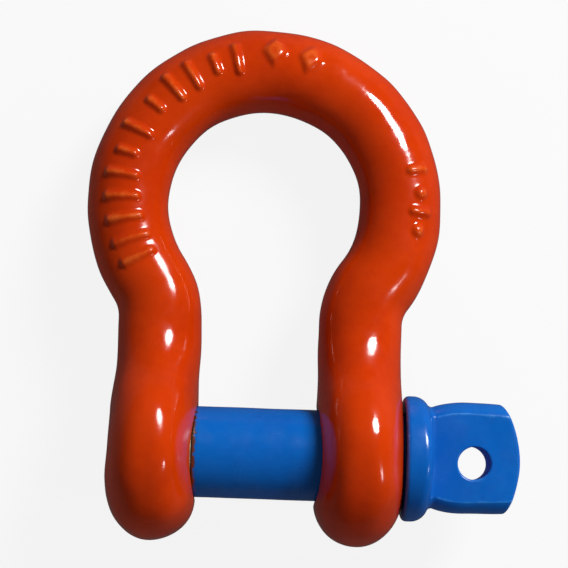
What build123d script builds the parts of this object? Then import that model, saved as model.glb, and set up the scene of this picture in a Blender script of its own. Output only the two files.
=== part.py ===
from build123d import *
import math
import os

os.makedirs("parts", exist_ok=True)

# Bow shackle with a screw pin, for a 25.4 mm pin. All sizes are in millimetres.
# The origin is the middle of the pin's axis between the two ears.
# +X runs along the pin to its tab, +Y runs to the crown, and +Z is up.
# A shackle has no base, so it lies on the edges of its two ears and on its crown.
# The ears are wider than the rod, so the bow leans down towards the crown.

# Pin: the thread of 8 turns to the inch is a plain bar of its pitch radius
PIN_RADIUS = 12.7
THREAD_RADIUS = 11.67
THREAD_START_X = -16.4
PIN_END_X = -40.5
PIN_END_CHAMFER = 1.6

# Holes for the pin: the tapped one runs on the thread, the plain one is drilled oversize
TAPPED_RADIUS = 11.72
TAPPED_SINK_RADIUS = 13.3
SINK_LEAD = 0.4
CLEAR_RADIUS = 13.5

# Collar and tab of the pin
COLLAR_RADIUS = 17.5
COLLAR_WIDTH = 7.3
COLLAR_ROUND = 4.7
COLLAR_SEAT_ROUND = 1.4
TAB_THICKNESS = 12.7
TAB_BULGE_HALF = 15.6
TAB_BULGE_X = 58.8
TAB_CORNER_HALF = 15.1
TAB_CORNER_X = 69.2
TAB_END_SLANT = 0.7
TAB_TIP_X = 73.3
TAB_ROOT_X = 45.0
TAB_ROOT_HALF = 11.9
TAB_MIDDLE_Y = 0.7
TAB_EDGE_ROUND = 3.9
TAB_END_ROUND = 0.6
TAB_ROOT_FILLET = 1.6
TAB_HOLE_RADIUS = 4.9
TAB_HOLE_X = 60.7
TAB_HOLE_Y = -0.8
TAB_TURN_DEG = -6

# Rod of the bow, measured in the bow's own plane
CROWN_CENTRE_Y = 69.7
CROWN_RADIUS = 38.9
CROWN_ROD_RADIUS = 11.8
SIDE_ROD_RADIUS = 11.5
NECK_ROD_RADIUS = 11.7
LEG_X = 28.3
SHOULDER_RADIUS = 20.0
SIDE_PLACE = 0.15

# Ears, forged to a draft on each side of the bow's plane, a little above the pin's axis
EAR_RISE = 1.0
EAR_RADIUS = 26.0
EAR_INNER_X = 16.5
EAR_OUTER_X = 42.0
EAR_TIP_X = 29.0
EAR_SWELL_HEIGHT = 23.0
INNER_DOME_DEPTH = 12.0
OUTER_DOME_DEPTH = 18.0
SEAT_X = 41.0
SEAT_RADIUS = 18.6

# Places worked out from the driving dimensions
shoulder_x = LEG_X + SHOULDER_RADIUS
shoulder_drop = math.sqrt((CROWN_RADIUS + SHOULDER_RADIUS) ** 2 - shoulder_x**2)
neck_y = CROWN_CENTRE_Y - shoulder_drop
shoulder_angle = math.degrees(math.atan2(shoulder_drop, shoulder_x))
crown_top_y = CROWN_CENTRE_Y + CROWN_RADIUS
lean = math.degrees(math.asin((EAR_RADIUS - CROWN_ROD_RADIUS) / crown_top_y))
collar_end_x = SEAT_X + COLLAR_WIDTH

# The bow's plane: its x is along the pin, its y runs from the ears to the crown, its z is the upper side
bow_plane = Plane(origin=(0, EAR_RISE, 0), x_dir=(1, 0, 0), z_dir=(0, 0, 1)).rotated((-lean, 0, 0))

# From the side the ear is a disc. A hollow of this radius leads from the rod to that disc.
hollow_radius = (neck_y**2 + NECK_ROD_RADIUS**2 - EAR_RADIUS**2) / (2 * (EAR_RADIUS - NECK_ROD_RADIUS))
hollow_end_y = neck_y * EAR_RADIUS / (EAR_RADIUS + hollow_radius)


def half_depth(y):
    """Half of the leg's depth across the bow's plane: the hollow, then the ear's disc."""
    if y > hollow_end_y:
        return NECK_ROD_RADIUS + hollow_radius - math.sqrt(hollow_radius**2 - (neck_y - y) ** 2)
    return math.sqrt(EAR_RADIUS**2 - y**2)


def swell(y):
    """A smooth step from 0 at the ear's middle to 1 where the ear has run out into the rod."""
    t = min(max(y / EAR_SWELL_HEIGHT, 0), 1)
    return t * t * (3 - 2 * t)


def dome(y, depth):
    """A quarter ellipse of the given depth: 1 above the dome, 0 at the dome's point."""
    return math.sqrt(1 - min(max((depth - EAR_RADIUS - y) / depth, 0), 1) ** 2)


def outer_x(y):
    """The leg's outer face: the ear bulges out round the pin, and falls away slowly to the dome's point."""
    face = EAR_OUTER_X + (LEG_X + NECK_ROD_RADIUS - EAR_OUTER_X) * swell(y)
    return EAR_TIP_X + (face - EAR_TIP_X) * dome(y, OUTER_DOME_DEPTH)


def inner_x(y):
    """The leg's inner face: nearly straight from the rod, and turned in sharply to the dome's point."""
    face = EAR_INNER_X + (LEG_X - NECK_ROD_RADIUS - EAR_INNER_X) * swell(y)
    return EAR_TIP_X + (face - EAR_TIP_X) * dome(y, INNER_DOME_DEPTH)


def across(x, y, side):
    """The plane that cuts a leg at height y, with its own x up through the bow."""
    centre = bow_plane.from_local_coords(Vector(side * x, y, 0))
    return Plane(origin=centre, x_dir=bow_plane.z_dir, z_dir=bow_plane.y_dir)


# Leg stations: along the hollow and the ear, then by even angles round the dome
STATIONS_ABOVE = 9
STATIONS_ROUND = 8
DOME_START_DEG = 20
DOME_STEP_DEG = 8
upper_stations = [
    neck_y - (neck_y + EAR_RADIUS * math.sin(math.radians(DOME_START_DEG))) * k / STATIONS_ABOVE
    for k in range(STATIONS_ABOVE)
]
dome_stations = [
    -EAR_RADIUS * math.sin(math.radians(DOME_START_DEG + DOME_STEP_DEG * k))
    for k in range(STATIONS_ROUND + 1)
]
stations = upper_stations + dome_stations


def leg_sections(side):
    """The ellipses of one leg from the neck down, and the point that closes its dome."""
    sections = []
    for y in stations:
        middle_x = (outer_x(y) + inner_x(y)) / 2
        with BuildSketch(across(middle_x, y, side)) as section:
            Ellipse(half_depth(y), (outer_x(y) - inner_x(y)) / 2)
        sections.append(section.sketch.face())
    tip = bow_plane.from_local_coords(Vector(side * EAR_TIP_X, -EAR_RADIUS, 0))
    return sections + [Vertex(tip.X, tip.Y, tip.Z)]


# Places along the rod where its radius is given, as shares of the rod's length
crown_arc = CROWN_RADIUS * math.radians(180 + 2 * shoulder_angle)
shoulder_arc = SHOULDER_RADIUS * math.radians(shoulder_angle)
side_share = (shoulder_arc + SIDE_PLACE * crown_arc) / (crown_arc + 2 * shoulder_arc)
rod_radii = {
    0: NECK_ROD_RADIUS,
    side_share: SIDE_ROD_RADIUS,
    0.5: CROWN_ROD_RADIUS,
    1 - side_share: SIDE_ROD_RADIUS,
    1: NECK_ROD_RADIUS,
}

# Bow
with BuildPart() as bow:
    # Rod: a round bar along one shoulder, the crown and the other shoulder, thickest at the crown
    with BuildLine(bow_plane) as rod_line:
        CenterArc((shoulder_x, neck_y), SHOULDER_RADIUS, 180, -shoulder_angle)
        CenterArc((0, CROWN_CENTRE_Y), CROWN_RADIUS, -shoulder_angle, 180 + 2 * shoulder_angle)
        CenterArc((-shoulder_x, neck_y), SHOULDER_RADIUS, shoulder_angle, -shoulder_angle)
    rod_path = rod_line.wires()[0]
    for share, radius in rod_radii.items():
        place = Plane(origin=rod_path @ share, x_dir=bow_plane.z_dir, z_dir=rod_path % share)
        with BuildSketch(place):
            Circle(radius)
    sweep(path=rod_path, multisection=True)

    # Legs: ellipses from the rod's circle to the ear, closed by the dome's point
    for side in (1, -1):
        loft(sections=leg_sections(side))

    # Plain hole through the ear beside the collar, and the tapped hole's bore in the other ear
    with BuildSketch(Plane.YZ):
        Circle(CLEAR_RADIUS)
    extrude(amount=collar_end_x, mode=Mode.SUBTRACT)
    with BuildSketch(Plane.YZ):
        Circle(TAPPED_RADIUS)
    extrude(amount=-collar_end_x, mode=Mode.SUBTRACT)

    # Countersinks where the thread comes out of the tapped ear's two faces
    for mouth_x, way_in in ((SINK_LEAD - EAR_INNER_X, -1), (-SINK_LEAD - EAR_OUTER_X, 1)):
        with BuildSketch(Plane(origin=(mouth_x, 0, 0), z_dir=(way_in, 0, 0))):
            Circle(TAPPED_SINK_RADIUS + SINK_LEAD)
        extrude(amount=TAPPED_SINK_RADIUS + SINK_LEAD - TAPPED_RADIUS, taper=45, mode=Mode.SUBTRACT)

    # Spot face that the collar is screwed up against
    with BuildSketch(Plane.YZ.offset(SEAT_X)):
        Circle(SEAT_RADIUS)
    extrude(amount=COLLAR_WIDTH, mode=Mode.SUBTRACT)

bow.part.label = "bow"
export_step(bow.part, "parts/bow.step")

# Tab: the flat end that a bar or a hand turns, crowned at its sides and ended by an arc
with BuildPart() as tab:
    with BuildSketch(Plane.XY.offset(-TAB_THICKNESS / 2)):
        with BuildLine():
            corners = []
            roots = []
            for side in (1, -1):
                corner = (TAB_CORNER_X - side * TAB_END_SLANT, TAB_MIDDLE_Y + side * TAB_CORNER_HALF)
                bulge = (TAB_BULGE_X, TAB_MIDDLE_Y + side * TAB_BULGE_HALF)
                root = (TAB_ROOT_X, TAB_MIDDLE_Y + side * TAB_ROOT_HALF)
                straight = Line(corner, bulge)
                TangentArc(bulge, root, tangent=straight % 1)
                corners.append(corner)
                roots.append(root)
            ThreePointArc(corners[0], (TAB_TIP_X, TAB_MIDDLE_Y), corners[1])
            Line(roots[0], roots[1])
        make_face()
    extrude(amount=TAB_THICKNESS)
    flats = tab.faces().filter_by(Axis.Z)
    crowned_edges = [edge for edge in flats.edges() if abs(edge.center().Y - TAB_MIDDLE_Y) > TAB_ROOT_HALF]
    fillet(crowned_edges, TAB_EDGE_ROUND)
    fillet(tab.faces().sort_by(Axis.X)[-1].edges(), TAB_END_ROUND)
    with Locations((TAB_HOLE_X, TAB_HOLE_Y, TAB_THICKNESS / 2)):
        Hole(TAB_HOLE_RADIUS)

# Screw pin: thread, shank and collar turned in one outline, with the tab forged on
with BuildPart() as screw_pin:
    with BuildSketch(Plane.XZ):
        with BuildLine():
            Polyline(
                (PIN_END_X, 0),
                (PIN_END_X, THREAD_RADIUS - PIN_END_CHAMFER),
                (PIN_END_X + PIN_END_CHAMFER, THREAD_RADIUS),
                (THREAD_START_X - (PIN_RADIUS - THREAD_RADIUS), THREAD_RADIUS),
                (THREAD_START_X, PIN_RADIUS),
                (SEAT_X, PIN_RADIUS),
                (SEAT_X, COLLAR_RADIUS),
                (collar_end_x, COLLAR_RADIUS),
                (collar_end_x, 0),
                (PIN_END_X, 0),
            )
        make_face()
    revolve(axis=Axis.X)
    for rim_index, rim_round in ((0, COLLAR_SEAT_ROUND), (-1, COLLAR_ROUND)):
        rims = screw_pin.edges().filter_by(GeomType.CIRCLE).group_by(SortBy.RADIUS)[-1]
        fillet(rims.sort_by(Axis.X)[rim_index], rim_round)
    add(tab.part, rotation=(TAB_TURN_DEG, 0, 0))
    root_edges = [
        edge
        for edge in screw_pin.edges(Select.LAST)
        if abs(edge.center().X - collar_end_x) < TAB_END_ROUND and abs(edge.center().Z) < TAB_THICKNESS
    ]
    fillet(root_edges, TAB_ROOT_FILLET)

screw_pin.part.label = "screw_pin"
export_step(screw_pin.part, "parts/screw_pin.step")
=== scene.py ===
# %% [markdown]
# A bow shackle with a screw pin: a forged bow in orange-red enamel, and a pin in blue enamel.
# The imported solids come in first. They are the fixed frame of this scene, so nothing is fitted later.
# Their box is kept now, before anything is added, and the floor and the lamps are placed by it.

# %% Load the imported model
import math

import bpy
import numpy as np
from mathutils import Matrix, Vector


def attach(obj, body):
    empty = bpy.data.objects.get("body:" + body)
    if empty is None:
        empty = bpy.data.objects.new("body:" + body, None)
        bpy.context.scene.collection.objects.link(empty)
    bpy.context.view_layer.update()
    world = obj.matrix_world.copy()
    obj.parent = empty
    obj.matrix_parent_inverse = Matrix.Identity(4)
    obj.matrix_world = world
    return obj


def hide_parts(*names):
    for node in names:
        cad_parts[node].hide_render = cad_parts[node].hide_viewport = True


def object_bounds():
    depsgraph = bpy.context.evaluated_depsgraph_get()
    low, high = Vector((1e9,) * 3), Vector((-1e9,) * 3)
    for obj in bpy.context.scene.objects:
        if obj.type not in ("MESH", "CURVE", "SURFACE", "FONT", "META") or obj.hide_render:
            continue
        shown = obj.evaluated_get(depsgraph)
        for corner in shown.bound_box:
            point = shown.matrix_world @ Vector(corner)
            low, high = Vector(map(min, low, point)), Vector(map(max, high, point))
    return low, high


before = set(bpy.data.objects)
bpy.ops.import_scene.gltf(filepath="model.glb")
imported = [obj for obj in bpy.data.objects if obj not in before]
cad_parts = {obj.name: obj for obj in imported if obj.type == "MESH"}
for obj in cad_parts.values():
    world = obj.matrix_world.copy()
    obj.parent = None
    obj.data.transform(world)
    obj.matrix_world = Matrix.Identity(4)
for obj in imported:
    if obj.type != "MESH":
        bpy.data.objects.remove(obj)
cad_low, cad_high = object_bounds()
MM = 0.001

# %% [markdown]
# The photograph looks straight down on the shackle, which lies on its side, from about half a metre.
# A camera that looks down needs only its place, its lens and three small turns. The turns are given in
# degrees, first the roll in the picture, then the two tilts away from the vertical.

# %% Camera
IMAGE_SIDE_PX = 568
FOCAL_PX = 1689.8
SENSOR_MM = 36.0
CAMERA_PLACE_MM = (1.44, 48.22, 473.6)
CAMERA_ROLL_DEG = -2.015
CAMERA_TILT_X_DEG = 0.057
CAMERA_TILT_Y_DEG = 0.581


def add_object(name, data):
    """A new object that shows a mesh, a lamp or a camera, linked to the scene."""
    new_object = bpy.data.objects.new(name, data)
    bpy.context.scene.collection.objects.link(new_object)
    return new_object


camera_data = bpy.data.cameras.new("camera")
camera_data.sensor_width = SENSOR_MM
camera_data.lens = FOCAL_PX * SENSOR_MM / IMAGE_SIDE_PX
camera = add_object("camera", camera_data)
world_to_camera = (
    Matrix.Rotation(math.radians(CAMERA_ROLL_DEG), 3, "Z")
    @ Matrix.Rotation(math.radians(CAMERA_TILT_X_DEG), 3, "X")
    @ Matrix.Rotation(math.radians(CAMERA_TILT_Y_DEG), 3, "Y")
)
camera_place = Vector(CAMERA_PLACE_MM) * MM
camera.matrix_world = Matrix.Translation(camera_place) @ world_to_camera.transposed().to_4x4()
bpy.context.scene.camera = camera
print("lens in mm:", round(camera_data.lens, 1))

# %% [markdown]
# Both pieces are grids of points worked out with numpy. A grid has rows along the piece and columns round
# it, and its faces look outwards when a step along the rows, crossed with a step along the columns, points
# out of the solid. Holes are made in the same way as a tailor makes a buttonhole: a window of faces is left
# out of the grid, and a second small grid leads from the window's edge through the solid to a window on the
# other side. Every edge is shared, so the mesh stays closed. Each point also carries four values for later:
# where the steel is bare, how high a raised mark stands, where an edge gets paint dulled by rubbing and a
# brighter tone as a painted highlight, and where a hole is hollow.

# %% Grid helpers
def smooth_step(share):
    """Three times the share squared less twice its cube, with the share held between 0 and 1."""
    share = np.clip(share, 0, 1)
    return share * share * (3 - 2 * share)


def grid_quads(ids):
    """Quads of a table of point numbers whose last column joins the first."""
    onward = np.roll(ids, -1, axis=1)
    return np.stack([ids[:-1], ids[1:], onward[1:], onward[:-1]], axis=-1)


def pole_fan(pole, ring):
    """Triangles from a pole to a ring, facing outwards where the rows start at the pole."""
    return np.stack([np.full(len(ring), pole), ring, np.roll(ring, -1)], axis=-1)


def window_loop(rows, columns):
    """Row and column numbers round a window of a grid, counter-clockwise as seen from outside."""
    up = np.arange(rows[0], rows[1])
    over = np.arange(columns[0], columns[1])
    row_numbers = [up, np.full(len(over), rows[1]), up[::-1] + 1, np.full(len(over), rows[0])]
    column_numbers = [np.full(len(up), columns[0]), over, np.full(len(up), columns[1]), over[::-1] + 1]
    return np.concatenate(row_numbers), np.concatenate(column_numbers)


# %% A mesh that grows
LABELS = ("bare", "relief", "edge", "hollow")


class Surface:
    """Points in millimetres and faces, gathered from several grids, with four named values for each point."""

    def __init__(self):
        self.points = []
        self.values = []
        self.faces = []
        self.count = 0

    def add_points(self, points, **given):
        """Adds a table of points and gives back their numbers. A value that isn't given is 0."""
        shape = points.shape[:-1]
        flat = points.reshape(-1, 3)
        self.points.append(flat)
        columns = [np.broadcast_to(given.get(label, 0.0), shape).ravel() for label in LABELS]
        self.values.append(np.stack(columns, axis=-1))
        numbers = self.count + np.arange(len(flat)).reshape(shape)
        self.count += len(flat)
        return numbers

    def add_faces(self, faces):
        """Adds quads or triangles."""
        self.faces.append(faces.reshape(-1, faces.shape[-1]))

    def make(self, name):
        """Makes the mesh object, at the origin, without the points that no face uses."""
        points = np.concatenate(self.points)
        values = np.concatenate(self.values)
        corners = np.concatenate([faces.ravel() for faces in self.faces])
        used, corners = np.unique(corners, return_inverse=True)
        sizes = np.concatenate([np.full(len(faces), faces.shape[1]) for faces in self.faces])
        starts = np.concatenate([[0], np.cumsum(sizes)[:-1]])
        mesh = bpy.data.meshes.new(name)
        mesh.vertices.add(len(used))
        mesh.vertices.foreach_set("co", (points[used] * MM).astype(np.float32).ravel())
        mesh.loops.add(len(corners))
        mesh.loops.foreach_set("vertex_index", corners.astype(np.int32).ravel())
        mesh.polygons.add(len(sizes))
        mesh.polygons.foreach_set("loop_start", starts.astype(np.int32))
        mesh.polygons.foreach_set("use_smooth", np.ones(len(sizes), bool))
        mesh.update(calc_edges=True)
        mesh.validate()
        for number, label in enumerate(LABELS):
            layer = mesh.attributes.new(label, "FLOAT", "POINT")
            layer.data.foreach_set("value", values[used, number].astype(np.float32))
        print(name, "has", int((sizes - 2).sum()), "triangles")
        return add_object(name, mesh)


# %% [markdown]
# The bow is one forging. A round bar is bent to a crown that is wider than the throat between the legs, and
# each leg swells to an ear with a hole for the pin. The surface follows one path from the tip of one ear
# round to the tip of the other. A section across the rod is a circle. From the side the ear is a disc, and
# a hollow leads from the rod to that disc. A section across the ear is a little fuller than an ellipse,
# because the dies press its rim, and its two faces fall away a little from the parting line, so that the
# forging comes out of the dies.

# %% Bow sizes
EAR_RISE = 1.0
EAR_RADIUS = 26.0
EAR_INNER_X = 16.5
EAR_OUTER_X = 42.0
EAR_TIP_X = 29.0
EAR_SWELL_HEIGHT = 23.0
INNER_DOME_DEPTH = 12.0
OUTER_DOME_DEPTH = 18.0
EAR_POWER = 2.7
EAR_DRAFT = 0.12
PARTING_ROUND = 0.06
NECK_RADIUS = 11.7
SIDE_RADIUS = 11.5
CROWN_ROD_RADIUS = 11.8
LEG_X = 28.3
SHOULDER_BEND = 20.0
CROWN_BEND = 38.9
CROWN_CENTRE_Y = 69.7
THINNEST_SHARE = 0.15

shoulder_x = LEG_X + SHOULDER_BEND
shoulder_drop = math.sqrt((CROWN_BEND + SHOULDER_BEND) ** 2 - shoulder_x**2)
shoulder_angle = math.atan2(shoulder_drop, shoulder_x)
neck_y = CROWN_CENTRE_Y - shoulder_drop
lean = math.asin((EAR_RADIUS - CROWN_ROD_RADIUS) / (CROWN_CENTRE_Y + CROWN_BEND))
hollow_radius = (neck_y**2 + NECK_RADIUS**2 - EAR_RADIUS**2) / (2 * (EAR_RADIUS - NECK_RADIUS))
hollow_end_y = neck_y * EAR_RADIUS / (EAR_RADIUS + hollow_radius)
print("neck at", round(neck_y, 1), "mm; the bow leans", round(math.degrees(lean), 1), "degrees")


# %% Leg from the front and from the side
def leg_half_depth(y):
    """Half of the leg across the bow's plane: the hollow's arc above, the ear's disc below."""
    hollow = NECK_RADIUS + hollow_radius - np.sqrt(np.maximum(hollow_radius**2 - (neck_y - y) ** 2, 0))
    disc = np.sqrt(np.maximum(EAR_RADIUS**2 - y**2, 0))
    return np.where(y > hollow_end_y, hollow, disc)


def ear_share(y):
    """A smooth step from 0, where the leg is a round rod, to 1 at the ear's middle and below."""
    return 1 - smooth_step(y / EAR_SWELL_HEIGHT)


def leg_face_x(y, rod_x, ear_x, dome_depth):
    """A face of the leg: it swells from the rod to the ear, then a quarter ellipse turns it in to the tip."""
    into_dome = np.clip((dome_depth - EAR_RADIUS - y) / dome_depth, 0, 1)
    face = rod_x + (ear_x - rod_x) * ear_share(y)
    return EAR_TIP_X + (face - EAR_TIP_X) * np.sqrt(1 - into_dome**2)


def leg_middle_and_half(y):
    """Middle and half of the leg's width along the pin, between its outer and its inner face."""
    outer = leg_face_x(y, LEG_X + NECK_RADIUS, EAR_OUTER_X, OUTER_DOME_DEPTH)
    inner = leg_face_x(y, LEG_X - NECK_RADIUS, EAR_INNER_X, INNER_DOME_DEPTH)
    return (outer + inner) / 2, (outer - inner) / 2


# %% Shape of a section
def section_power(y):
    """The power in the section's outline: 2 gives a circle or an ellipse, more gives fuller corners."""
    return 2 + (EAR_POWER - 2) * ear_share(y)


def draft_share(up, y):
    """The share of width kept: one less the draft times the share of the depth, soft at the parting line."""
    return 1 - EAR_DRAFT * ear_share(y) * (np.hypot(up, PARTING_ROUND) - PARTING_ROUND)


def ear_face_x(y, depth, way):
    """How far out the ear lies at a height and a depth; way is 1 for the outer face, -1 for the inner."""
    middle, half = leg_middle_and_half(y)
    power = section_power(y)
    up = np.minimum(np.abs(depth) / leg_half_depth(y), 1)
    return middle + way * half * draft_share(up, y) * (1 - up**power) ** (1 / power)


# %% [markdown]
# The rows stand at even steps along the path, closer together in the rod, where raised marks will need
# them. The right half is worked out first and the left half is its mirror image, so the two ears match.

# %% Rows of the bow
DOME_ROWS = 37
LEG_ROWS = 33
SHOULDER_ROWS = 15
CROWN_ROWS = 326

dome_angles = np.linspace(math.pi / 2, 0, DOME_ROWS + 1)[1:]
leg_y = np.concatenate([-EAR_RADIUS * np.sin(dome_angles), np.linspace(0, neck_y, LEG_ROWS + 1)[1:-1]])
bend_angles = np.linspace(math.pi, math.pi - shoulder_angle, SHOULDER_ROWS + 1)[:-1]
crown_angles = np.linspace(-shoulder_angle, math.pi + shoulder_angle, CROWN_ROWS)
leg_count = len(leg_y)

crown_length = CROWN_BEND * (math.pi + 2 * shoulder_angle)
shoulder_length = SHOULDER_BEND * shoulder_angle
rod_length = crown_length + 2 * shoulder_length
thinnest_at = (shoulder_length + THINNEST_SHARE * crown_length) / rod_length


def rod_radius(share):
    """The rod's radius at a share of its length: smooth steps from the neck to the side and to the crown."""
    share = np.minimum(share, 1 - share)
    to_side = smooth_step(share / thinnest_at)
    to_crown = smooth_step((share - thinnest_at) / (0.5 - thinnest_at))
    return NECK_RADIUS + (SIDE_RADIUS - NECK_RADIUS) * to_side + (CROWN_ROD_RADIUS - SIDE_RADIUS) * to_crown


def arc_rows(middle, bend, angles, radius, way):
    """Rows at a bend radius round a middle; way is 1 where the bow's outside faces away from that middle."""
    across, up = np.cos(angles), np.sin(angles)
    place = [middle[0] + bend * across, middle[1] + bend * up]
    return np.stack([*place, way * across, way * up, radius, radius])


leg_middle, leg_half = leg_middle_and_half(leg_y)
leg_outward = np.ones(leg_count), np.zeros(leg_count)
leg_rows = np.stack([leg_middle, leg_y, *leg_outward, leg_half, leg_half_depth(leg_y)])
bend_radius = rod_radius((math.pi - bend_angles) * SHOULDER_BEND / rod_length)
bend_rows = arc_rows((shoulder_x, neck_y), SHOULDER_BEND, bend_angles, bend_radius, -1)
crown_radius = rod_radius((shoulder_length + (crown_angles + shoulder_angle) * CROWN_BEND) / rod_length)
crown_rows = arc_rows((0, CROWN_CENTRE_Y), CROWN_BEND, crown_angles, crown_radius, 1)
half_rows = np.concatenate([leg_rows, bend_rows], axis=1)
mirror_signs = np.array([-1, 1, -1, 1, 1, 1])[:, None]
bow_rows = np.concatenate([half_rows, crown_rows, mirror_signs * half_rows[:, ::-1]], axis=1)
row_count = bow_rows.shape[1]
crown_start = half_rows.shape[1]
print("the bow has", row_count, "rows along", round(rod_length), "mm of rod and two legs")

# %% [markdown]
# Columns run round the section. The side that faces up gets twice as many as the side that lies down,
# because the raised marks are there. Angle 0 points away from the bow's opening and 90 degrees points up.

# %% Columns of the bow
UPPER_COLUMNS = 96
LOWER_COLUMNS = 48

upper_angles = np.linspace(0, math.pi, UPPER_COLUMNS, endpoint=False)
lower_angles = np.linspace(math.pi, 2 * math.pi, LOWER_COLUMNS, endpoint=False)
column_angles = np.concatenate([upper_angles, lower_angles])
column_count = len(column_angles)

# Each row is a middle, a direction away from the bow's opening, and half of a width and of a depth.
centre_x, centre_y, out_x, out_y, half_width, half_depth = bow_rows[:, :, None]
power = section_power(centre_y)
across, upward = np.cos(column_angles), np.sin(column_angles)
fullness = (np.abs(across) ** power + np.abs(upward) ** power) ** (-1 / power)
reach = half_width * across * fullness * draft_share(upward * fullness, centre_y)
bow_x = centre_x + out_x * reach
bow_y = centre_y + out_y * reach
bow_depth = half_depth * upward * fullness

# %% [markdown]
# A forging die leaves raised marks on the crown's upper side. Here they are plain shapes that say nothing:
# bars across the rod on the left, two lozenges near the top and a short group on the right. Each mark is a
# height over the rod, worked out from the distance to a line or from a lozenge's measure, with sides that
# slope as a forging's do and tops that thick paint has rounded. They are geometry, so they catch the light.

# %% Raised marks
MARK_HEIGHT = 1.05
MARK_SLOPE = 1.9
LEFT_BARS_DEG = (103, 112, 122, 131, 141, 153, 163, 172, 181, 190, 199, 207)
LEFT_BAR_LENGTHS = (9.6, 6.4, 9.6, 9.6, 6.4, 9.6, 6.4, 9.6, 10.0, 10.5, 11.0, 10.0)
BAR_HALF_WIDTH = 1.0
LEFT_BARS_OUT = (1.9, 1.9, 1.9, 1.9, 1.9, 1.9, 1.9, 1.7, 1.2, 0.6, 0.1, 0.1)
LOZENGES_DEG = (88, 74)
LOZENGE_HALF = (3.4, 4.6)
LOZENGE_OUT = 3.2
LOZENGE_ROUND = 0.15
RIGHT_BARS_DEG = (13, -3)
RIGHT_BAR_LENGTH = 6.2
RIGHT_BAR_OUT = 5.0
RIGHT_PIPS_DEG = (4, -10)
PIP_HALF = 1.5

along = crown_angles[:, None]
outward = (math.pi / 2 - column_angles) * crown_radius[:, None]


def bar_distance(at_deg, out, length, half_width_mm):
    """Distance from a bar that lies across the rod: beyond its line's ends, less its half width."""
    beside = (along - math.radians(at_deg)) * (CROWN_BEND + out)
    beyond = np.maximum(np.abs(outward - out) - (length / 2 - half_width_mm), 0)
    return np.hypot(beside, beyond) - half_width_mm


def lozenge_distance(at_deg, out):
    """A lozenge's measure in millimetres: the shares of its two half sizes, added, less one."""
    beside = np.abs(along - math.radians(at_deg)) * (CROWN_BEND + out)
    beyond = np.abs(outward - out)
    share_beside = np.hypot(beside / LOZENGE_HALF[0], LOZENGE_ROUND)
    share_beyond = np.hypot(beyond / LOZENGE_HALF[1], LOZENGE_ROUND)
    return (share_beside + share_beyond - 1) * min(LOZENGE_HALF) / math.sqrt(2)


def mark_height(distance):
    """A smooth slope from nothing outside the mark to its full height inside."""
    return MARK_HEIGHT * smooth_step(0.5 - distance / MARK_SLOPE)


marks = [
    bar_distance(at, out, length, BAR_HALF_WIDTH)
    for at, out, length in zip(LEFT_BARS_DEG, LEFT_BARS_OUT, LEFT_BAR_LENGTHS)
]
marks += [lozenge_distance(at, LOZENGE_OUT) for at in LOZENGES_DEG]
marks += [bar_distance(at, RIGHT_BAR_OUT, RIGHT_BAR_LENGTH, BAR_HALF_WIDTH) for at in RIGHT_BARS_DEG]
marks += [bar_distance(at, RIGHT_BAR_OUT, 2 * PIP_HALF, PIP_HALF) for at in RIGHT_PIPS_DEG]
nearest_mark = np.full((row_count, column_count), MARK_SLOPE)
nearest_mark[crown_start:crown_start + CROWN_ROWS] = np.min(marks, axis=0)
relief = mark_height(nearest_mark)
# A mark's rim gets the edge value, for paint dulled by rubbing and a brighter tone as a painted highlight:
# most half a slope inside its outline, and not at all one slope further either way.
mark_rim = np.clip(1 - np.abs(nearest_mark + MARK_SLOPE / 2) / MARK_SLOPE, 0, 1)
print("marks:", len(marks), "highest", round(relief.max(), 2), "mm")

# %% [markdown]
# The ear beside the collar has a plain drilled hole and a flat, shallow seat that the collar is screwed
# against. The other ear is tapped. Its thread is the pin's own 60 degree profile with a little air, eight
# turns to the inch, cut off at the crests, and both ends of the hole are countersunk.

# %% Thread profile
INCH_MM = 25.4
TURNS_TO_THE_INCH = 8
PITCH = INCH_MM / TURNS_TO_THE_INCH
PITCH_RADIUS = 11.67
FLANK_LEAN_DEG = 30
FLANK_RISE = 1 / math.tan(math.radians(FLANK_LEAN_DEG))
FLANK_MIDDLE = 0.25


def thread_radius(x, turn, air, root, crest):
    """Radius of a right-hand thread: straight flanks about the pitch line, cut off at root and crest."""
    phase = x / PITCH - turn / (2 * math.pi)
    from_crest = np.abs(phase - np.round(phase))
    flank = PITCH_RADIUS + air + (FLANK_MIDDLE - from_crest) * PITCH * FLANK_RISE
    return np.clip(flank, root, crest)


# %% Windows in the ears
WINDOW_HALF_HEIGHT = 17.0
WINDOW_COLUMNS_UP = 20
WINDOW_COLUMNS_DOWN = 10
SEAT_X = 41.0
SEAT_RADIUS = 18.6
SEAT_EDGE = 0.9

bore_y = -EAR_RISE * math.cos(lean)
bore_depth = -EAR_RISE * math.sin(lean)
from_pin = np.hypot(bow_y - bore_y, bow_depth - bore_depth)
seat_share = 1 - smooth_step((from_pin - SEAT_RADIUS) / SEAT_EDGE + 0.5)
bow_x -= seat_share * np.maximum(bow_x - SEAT_X, 0)

first_window_row = int(np.argmin(np.abs(leg_y - bore_y + WINDOW_HALF_HEIGHT)))
last_window_row = int(np.argmin(np.abs(leg_y - bore_y - WINDOW_HALF_HEIGHT)))


def ear_rows(side):
    """First and last row of the windows in an ear; the left ear's rows run the other way."""
    if side > 0:
        return first_window_row, last_window_row
    return row_count - 1 - last_window_row, row_count - 1 - first_window_row


OUTER_COLUMNS = (-WINDOW_COLUMNS_DOWN, WINDOW_COLUMNS_UP)
INNER_COLUMNS = (UPPER_COLUMNS - WINDOW_COLUMNS_UP, UPPER_COLUMNS + WINDOW_COLUMNS_DOWN)


# %% Skin of the bow, with its windows
def in_world(x, y, depth):
    """Points from the bow's leaning plane, which starts a little above the pin's axis, to the row frame."""
    world_y = EAR_RISE + y * math.cos(lean) + depth * math.sin(lean)
    return np.stack([x, world_y, depth * math.cos(lean) - y * math.sin(lean)], -1)


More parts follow.
